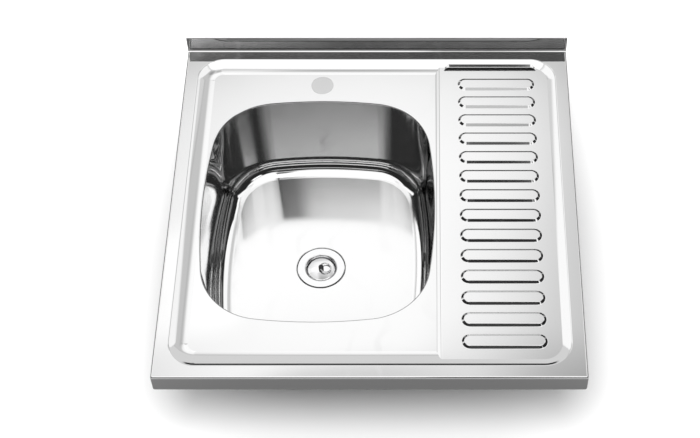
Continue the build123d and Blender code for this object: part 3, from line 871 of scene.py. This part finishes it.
STUDIO: tuple[Panel, ...] = (
    # Overhead and on the wall side.
    Panel(0.0, 180.0, 68.0, 120.0, 1.15, soft=8.0),
    Panel(-7.0, 17.0, 46.0, 70.0, 0.76, soft=7.0),
    Panel(0.0, 40.0, 19.0, 46.0, 0.7, soft=3.0),
    Panel(0.0, 35.0, 45.0, 70.0, 0.6, soft=3.0),
    # Round the wall side.
    Panel(-52.0, 22.0, 25.0, 70.0, 1.05, soft=12.0, side_soft=4.0),
    Panel(-17.0, 6.0, 52.0, 58.5, 0.9, soft=4.0, side_soft=5.0),
    Panel(51.0, 20.0, 26.0, 70.0, 1.0, soft=9.0, side_soft=3.0),
    # Front and both sides.
    Panel(122.0, 13.0, 47.2, 56.0, 1.1, soft=1.0, side_soft=3.0),
    Panel(180.0, 106.0, 57.5, 70.0, 1.0, soft=2.0),
    Panel(-115.0, 17.0, 57.2, 70.0, 1.0, soft=1.0, side_soft=4.0),
    # Flags that cut the front panel.
    Panel(183.0, 17.0, 50.0, 58.8, 0.82, soft=1.6, side_soft=10.0, flag=True),
    Panel(175.5, 4.0, 50.0, 61.2, 0.96, soft=0.8, side_soft=3.0, flag=True),
    Panel(173.5, 6.0, 61.2, 63.2, 0.4, soft=0.8, flag=True),
    Panel(173.5, 6.0, 65.0, 78.0, 0.94, soft=1.5, flag=True),
    # Strips and glow at the front, then near the horizon.
    Panel(186.0, 16.0, 45.2, 46.8, 1.0, soft=1.2, side_soft=14.0),
    Panel(186.0, 28.0, 43.0, 46.5, 0.25, soft=1.5, side_soft=14.0),
    Panel(180.0, 16.0, 40.0, 56.0, 0.07, soft=12.0),
    Panel(180.0, 60.0, -8.0, 10.0, 0.28, soft=3.0),
    Panel(130.0, 30.0, 3.0, 24.0, 0.1, soft=8.0),
    Panel(-130.0, 30.0, 3.0, 24.0, 0.2, soft=8.0),
    # Thin strips at the front, and flags on the wall side.
    Panel(-166.0, 3.0, 48.5, 52.0, 0.3, soft=1.5),
    Panel(-176.7, 1.5, 48.5, 54.0, 0.13, soft=2.0),
    Panel(-5.0, 2.0, 59.0, 66.0, 0.5, soft=0.8, side_soft=7.0, flag=True),
    Panel(13.0, 9.0, 58.4, 66.0, 0.35, soft=2.4, side_soft=6.0, flag=True),
    Panel(10.0, 6.0, 53.0, 62.0, 0.14, soft=5.0, side_soft=5.0, flag=True),
)


class Photographer:
    """Camera, background and light."""

    LENS_MM = 81.59
    SENSOR_MM = 36.0
    SIDE_SHIFT = -0.1076
    PLACE = (0.07648, -1.3989, 1.9118)
    TILT_DEG = 36.05
    SIGHT = 40.0
    FLOOR_GAP = 0.0005
    FLOOR_SIZE = 9.0
    PAPER_COLOUR = (0.9, 0.9, 0.9)
    WHITE = (1.0, 1.0, 1.0)
    # Camera rays: a glow whitens the floor, weak near the sink and full further out, so the floor
    # round the sink is darker: painted shade on top of the lamp's real shadow.
    FLOOR_LIFT = 0.05
    WHITE_FLOOR_REACH = (0.3, 1.0)
    # In reflections the floor gets painted shade near the sink and on a patch on the wall side, and
    # a painted glow further out.
    REFLECTED_SHADE_REACH = (0.45, 1.3)
    REFLECTED_SHADE_TONE = 0.15
    FAR_FLOOR_TONE = 0.6
    PAINTED_REFLECTION_GLOW = 0.18
    SHADE_PATCH_PLACE = (0.27, 0.98, 0.0)
    SHADE_PATCH_SHAPE = (1.8, 1.0, 0.0)  # Longer along Y: distances along X count for more.
    SHADE_PATCH_REACH = (0.4, 0.6)
    ROOM_LIGHT = 0.02
    HOT_SPOT = (-0.05, 0.69, 1.0)
    HOT_SPOT_DEG = 11.0
    HOT_SPOT_GAIN = 0.32
    LAMP_PLACE = (0.0, -1.3, 2.5)
    LAMP_SIZE = 1.3
    LAMP_POWER = 75.0

    def camera(self) -> None:
        """Set up the camera at the viewing angle."""
        data = bpy.data.cameras.new("camera")
        data.lens = self.LENS_MM
        data.sensor_width = self.SENSOR_MM
        data.shift_x = self.SIDE_SHIFT
        data.clip_end = self.SIGHT
        camera = stand("camera", data)
        camera.location = self.PLACE
        camera.rotation_euler = (math.radians(self.TILT_DEG), 0.0, 0.0)
        bpy.context.scene.camera = camera

    def floor(self, lowest: float) -> None:
        """Lay a pale floor under the sink's lowest point.

        Args:
            lowest: Height of the lowest point of the sink, in metres.
        """
        half = self.FLOOR_SIZE / 2
        level = lowest - self.FLOOR_GAP
        square = ((-half, -half), (half, -half), (half, half), (-half, half))
        rim = [(x, y, level) for x, y in square]
        mesh = bpy.data.meshes.new("floor")
        mesh.from_pydata(rim, [], [(0, 1, 2, 3)])
        mesh.materials.append(self.floor_material())
        floor = stand("floor", mesh)
        floor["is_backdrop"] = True

    def floor_material(self) -> bpy.types.Material:
        """White paper for the camera, less white near the sink; in reflections a grey floor with
        painted shade near the sink and on a patch behind it, and a painted glow further out.
        """
        material = bpy.data.materials.new("floor")
        sheet = blank_sheet(material)
        rays = sheet.put("ShaderNodeLightPath").outputs
        where = sheet.put("ShaderNodeTexCoord").outputs["Object"]
        level = sheet.vector("MULTIPLY", where, (1.0, 1.0, 0.0)).outputs[0]
        away = sheet.vector("LENGTH", level).outputs["Value"]
        # Whitening that fades near the sink: painted shade round it.
        white = sheet.ramp(away, *self.WHITE_FLOOR_REACH, self.FLOOR_LIFT, 1.0)
        # Painted dark patch on the wall side, seen only in reflections.
        offset = sheet.vector("SUBTRACT", where, self.SHADE_PATCH_PLACE).outputs[0]
        shaped = sheet.vector("MULTIPLY", offset, self.SHADE_PATCH_SHAPE).outputs[0]
        shade_patch = sheet.vector("LENGTH", shaped).outputs["Value"]
        unshaded_share = sheet.math(
            "MULTIPLY",
            sheet.ramp(away, *self.REFLECTED_SHADE_REACH),
            sheet.ramp(shade_patch, *self.SHADE_PATCH_REACH),
        )
        spread = self.FAR_FLOOR_TONE - self.REFLECTED_SHADE_TONE
        tone = sheet.math("MULTIPLY_ADD", unshaded_share, spread, self.REFLECTED_SHADE_TONE)
        # Glow that only reflections see: painted light on the far floor.
        glow_share = sheet.math("MULTIPLY", unshaded_share, self.PAINTED_REFLECTION_GLOW)
        painted_glow = sheet.math("MULTIPLY", rays["Is Glossy Ray"], glow_share)
        lift = sheet.math("MULTIPLY_ADD", rays["Is Camera Ray"], white, painted_glow)
        paper = sheet.put("ShaderNodeBsdfDiffuse", {"Color": rgba(self.PAPER_COLOUR)}).outputs[0]
        # Grey floor for reflections, carrying the painted shade near the sink.
        shaded_reflection = sheet.put("ShaderNodeBsdfDiffuse", {"Color": tone}).outputs[0]
        shine = {"Color": rgba(self.WHITE), "Strength": lift}
        glow = sheet.put("ShaderNodeEmission", shine).outputs[0]
        base = sheet.put("ShaderNodeMixShader", {0: rays["Is Glossy Ray"], 1: paper, 2: shaded_reflection})
        both = sheet.put("ShaderNodeAddShader", {0: base.outputs[0], 1: glow})
        sheet.put("ShaderNodeOutputMaterial", {"Surface": both.outputs[0]})
        return material

    def room_light(self, sheet: NodeSheet) -> Socket:
        """Light that comes to the sink from each direction of the studio.

        Args:
            sheet: The world's nodes.

        Returns:
            Socket with the strength of the light.
        """
        direction = sheet.put("ShaderNodeTexCoord").outputs["Generated"]
        flat = sheet.vector("MULTIPLY", direction, (1.0, 1.0, 0.0)).outputs[0]
        across = sheet.vector("NORMALIZE", flat).outputs[0]
        sine = sheet.put("ShaderNodeSeparateXYZ", {0: direction}).outputs["Z"]
        height = sheet.math("DEGREES", sheet.math("ARCSINE", sine))
        light: Any = self.ROOM_LIGHT
        for panel in STUDIO:
            mask = panel.mask(sheet, across, height)
            if panel.flag:
                shade = sheet.math("MULTIPLY_ADD", mask, -panel.strength, 1.0)
                light = sheet.math("MULTIPLY", light, shade)
            else:
                light = sheet.math("MAXIMUM", light, sheet.math("MULTIPLY", mask, panel.strength))
        aim = Vector(self.HOT_SPOT).normalized()
        near = sheet.vector("DOT_PRODUCT", direction, tuple(aim)).outputs["Value"]
        edge = math.cos(math.radians(self.HOT_SPOT_DEG))
        return sheet.math("ADD", light, sheet.ramp(near, edge, 1.0, 0.0, self.HOT_SPOT_GAIN))

    def studio(self) -> None:
        """Surround the sink with the studio's panels and a white backdrop."""
        world = bpy.data.worlds.new("studio")
        bpy.context.scene.world = world
        sheet = blank_sheet(world)
        camera_ray = sheet.put("ShaderNodeLightPath").outputs["Is Camera Ray"]
        white = rgba(self.WHITE)
        light = {"Color": white, "Strength": self.room_light(sheet)}
        room = sheet.put("ShaderNodeBackground", light).outputs[0]
        backdrop = sheet.put("ShaderNodeBackground", {"Color": white, "Strength": 1.0}).outputs[0]
        both = sheet.put("ShaderNodeMixShader", {0: camera_ray, 1: room, 2: backdrop})
        sheet.put("ShaderNodeOutputWorld", {"Surface": both.outputs[0]})

    def lamp(self) -> None:
        """Hang a soft lamp overhead, for the shadow on the floor."""
        data = bpy.data.lights.new("overhead", "AREA")
        data.shape = "DISK"
        data.size = self.LAMP_SIZE
        data.energy = self.LAMP_POWER
        lamp = stand("overhead", data)
        lamp.location = self.LAMP_PLACE
        lamp.rotation_euler = (-Vector(self.LAMP_PLACE)).to_track_quat("-Z", "Y").to_euler()
        lamp.visible_glossy = False

    def set_up(self, lowest: float) -> None:
        """Camera, floor and light, and a plain display of colours."""
        self.camera()
        self.floor(lowest)
        self.studio()
        self.lamp()
        bpy.context.scene.view_settings.view_transform = "Standard"
        LOG.info("camera, floor and light are in place")


# ------------------------------------------------------------------ sub-assemblies
@dataclass
class Pressing:
    """Deck with its welded bowl, pad, stiffeners and brackets."""

    shop: Workshop
    bowl_centre: Point = (-81.8 * MM, -2.8 * MM, 0.0)
    half_width: float = 171.5 * MM
    half_length: float = 201.8 * MM
    corner_x: float = 71.8 * MM
    corner_y: float = 104.4 * MM
    corner_radius: float = 92.9 * MM
    sheet: float = 0.8 * MM
    arc_steps: int = 40
    lip_level: float = 21.0 * MM
    weld_pitch: float = 2.4 * MM
    weld_seed: int = 3
    weld_size: Point = (1.9 * MM, 1.3 * MM, 0.75 * MM)
    pad_level: float = -130.3 * MM
    pad_width: float = 230.0 * MM
    pad_length: float = 290.0 * MM
    pad_hole: float = 64.0 * MM
    stud_size: Point = (4.2 * MM, 4.2 * MM, 0.7 * MM)
    stud_edge: float = 18.0 * MM
    stud_grid: tuple[int, int] = (12, 15)
    stiffener_places: tuple[float, float] = (150.0 * MM, 224.0 * MM)
    flange_level: float = 26.8 * MM
    flange_spread: float = 34.0 * MM
    spot_run: float = 440.0 * MM
    spot_size: Point = (2.6 * MM, 2.6 * MM, 0.3 * MM)
    spot_grid: tuple[int, int] = (2, 9)

    def dress(self) -> None:
        """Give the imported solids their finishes, and add the welds and the pad's studs."""
        self.shop.dress("deck", "deck_steel")
        self.shop.dress("bowl", "bowl_steel")
        self.shop.dress("sound_pad", "sound_pad")
        for side in ("inner", "outer"):
            self.shop.dress(f"drainer_stiffener_{side}", "galvanised")
        for place in ("front_left", "front_right", "back_left", "back_right"):
            self.shop.dress(f"bracket_{place}", "galvanised")
        self.weld_bowl()
        self.stud_pad()
        self.spot_weld_stiffeners()

    def side_radius(self, half: float, near: float, far: float) -> float:
        """Radius of a bulged side that meets the corner arcs smoothly.

        Args:
            half: Bowl's centre to the middle of the side.
            near: Corner arc's centre, measured the same way.
            far: Corner arc's centre, measured along the side.

        Returns:
            The side's radius.
        """
        gap = half - near
        return (gap**2 + far**2 - self.corner_radius**2) / (2 * (gap - self.corner_radius))

    def outline(self, grow: float) -> list[tuple[float, float]]:
        """Points round the bowl's mouth, moved outwards by an amount.

        Args:
            grow: Distance outwards.

        Returns:
            Points in order round the mouth.
        """
        side = self.side_radius(self.half_width, self.corner_x, self.corner_y)
        end = self.side_radius(self.half_length, self.corner_y, self.corner_x)
        side_middle = (self.half_width - side, 0.0)
        end_middle = (0.0, self.half_length - end)
        first = math.atan2(self.corner_y - side_middle[1], self.corner_x - side_middle[0])
        last = math.atan2(self.corner_y - end_middle[1], self.corner_x - end_middle[0])
        arcs = (
            (side_middle, side, 0.0, first),
            ((self.corner_x, self.corner_y), self.corner_radius, first, last),
            (end_middle, end, last, math.pi / 2),
        )
        quarter = []
        for (middle_x, middle_y), radius, start, stop in arcs:
            reach = radius + grow
            for step in range(self.arc_steps):
                turn = start + (stop - start) * step / self.arc_steps
                point = (middle_x + reach * math.cos(turn), middle_y + reach * math.sin(turn))
                quarter.append(point)
        quarter.append((0.0, self.half_length + grow))
        half = quarter + [(-x, y) for x, y in reversed(quarter[1:-1])]
        half.append((-self.half_width - grow, 0.0))
        return half + [(x, -y) for x, y in reversed(half[1:-1])]

    def weld_bowl(self) -> None:
        """Lay the seam weld where the bowl meets the deck's turned-down lip."""
        mesh = bpy.data.meshes.new("bowl_weld_line")
        line = [
            (self.bowl_centre[0] + x, self.bowl_centre[1] + y, self.lip_level)
            for x, y in self.outline(self.sheet)
        ]
        edges = [(here, (here + 1) % len(line)) for here in range(len(line))]
        mesh.from_pydata(line, edges, [])
        sizes = {"Pitch": self.weld_pitch, "Scale Size": self.weld_size, "Seed": self.weld_seed}
        weld = self.shop.grow("bowl_weld", Pattern.BEAD, "bowl_steel", sizes, mesh)
        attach(weld, "sink")

    def stud_pad(self) -> None:
        """Emboss the underside of the sound pad."""
        middle = (self.bowl_centre[0], self.bowl_centre[1], self.pad_level)
        sizes = {
            "Width": self.pad_width - 2 * self.stud_edge,
            "Length": self.pad_length - 2 * self.stud_edge,
            "Columns": self.stud_grid[0],
            "Rows": self.stud_grid[1],
            "Place": middle,
            "Hole Place": (Waste.AXIS[0], Waste.AXIS[1], self.pad_level),
            "Hole Radius": self.pad_hole,
            "Stud Size": self.stud_size,
        }
        studs = self.shop.grow("pad_studs", Pattern.STUDS, "sound_pad", sizes)
        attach(studs, "sink")

    def spot_weld_stiffeners(self) -> None:
        """Mark the spot welds along both flanges of each stiffener."""
        for number, place in enumerate(self.stiffener_places, start=1):
            sizes = {
                "Width": self.flange_spread,
                "Length": self.spot_run,
                "Columns": self.spot_grid[0],
                "Rows": self.spot_grid[1],
                "Place": (place, 0.0, self.flange_level),
                "Stud Size": self.spot_size,
            }
            spots = self.shop.grow(f"spot_welds_{number}", Pattern.STUDS, "galvanised", sizes)
            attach(spots, "sink")


@dataclass
class Waste:
    """Waste in the bowl's floor: flange with its cup, gaskets, moulded body, screw and nut."""

    AXIS = (-85.5 * MM, -8.4 * MM, 0.0)

    shop: Workshop
    tail_crest: float = 23.9 * MM
    tail_root: float = 22.5 * MM
    tail_top: float = -166.0 * MM
    tail_end: float = -194.0 * MM
    thread_pitch: float = 2.309 * MM
    thread_margin: float = 1.6 * MM
    thread_sink: float = 0.15 * MM
    thread_base: float = 0.92
    thread_crest: float = 0.22
    thread_steps: int = 72
    slack: float = 0.01 * MM

    def dress(self) -> None:
        """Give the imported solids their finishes, and cut the tail's thread."""
        for node, slot in (
            ("waste_flange", "waste_steel"),
            ("flange_gasket", "rubber"),
            ("body_gasket", "rubber"),
            ("waste_nut", "brass"),
            ("waste_screw", "screw_steel"),
        ):
            self.shop.dress(node, slot)
        self.cut_tail_thread()

    def cut_tail_thread(self) -> None:
        """Turn the tail down to the thread's root and wind the ridge on it."""
        body = self.shop.turned_down(
            "waste_body",
            "waste_body_moulded",
            self.AXIS,
            self.tail_crest,
            self.tail_root,
            self.tail_end - self.slack,
            self.tail_top + self.slack,
        )
        body.data.materials.clear()
        body.data.materials.append(self.shop.materials["waste_plastic"])
        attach(body, "sink")
        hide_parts("waste_body")
        length = self.tail_top - self.tail_end - 2 * self.thread_margin - self.thread_pitch
        depth = self.tail_crest - self.tail_root
        foot = self.tail_end + self.thread_margin + self.thread_pitch / 2
        sizes = {
            "Steps": self.thread_steps,
            "Turns": length / self.thread_pitch,
            "Root Radius": self.tail_root + depth / 2 - self.thread_sink,
            "Length": length,
            "Depth": depth,
            "Base Width": self.thread_base * self.thread_pitch,
            "Crest Width": self.thread_crest * self.thread_pitch,
            "Place": (self.AXIS[0], self.AXIS[1], foot),
        }
        thread = self.shop.grow("tail_thread", Pattern.THREAD, "waste_plastic", sizes)
        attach(thread, "sink")


@dataclass
class Plug:
    """Plug with its cap, rubber, washer, post and ring."""

    shop: Workshop

    def dress(self) -> None:
        """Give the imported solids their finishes."""
        for node, slot in (
            ("plug_cap", "plug_chrome"),
            ("plug_body", "rubber"),
            ("plug_washer", "screw_steel"),
            ("plug_post", "post_plastic"),
            ("pull_ring", "plug_chrome"),
        ):
            self.shop.dress(node, slot)


def corners(box: Sequence[Sequence[float]]) -> list[list[float]]:
    """A box as plain lists of numbers."""
    return [[float(value) for value in corner] for corner in box]


def main() -> None:
    """Load the frame, dress and build every sub-assembly, and set up the view."""
    logging.basicConfig(level=logging.INFO, format="%(name)s: %(message)s")
    shop = Workshop(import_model())
    packed_box = corners(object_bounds())
    lowest = packed_box[0][2]
    shop.mix_finishes()
    Photographer().set_up(lowest)
    for assembly in (Pressing(shop), Waste(shop), Plug(shop)):
        assembly.dress()


if __name__ == "__main__":
    main()
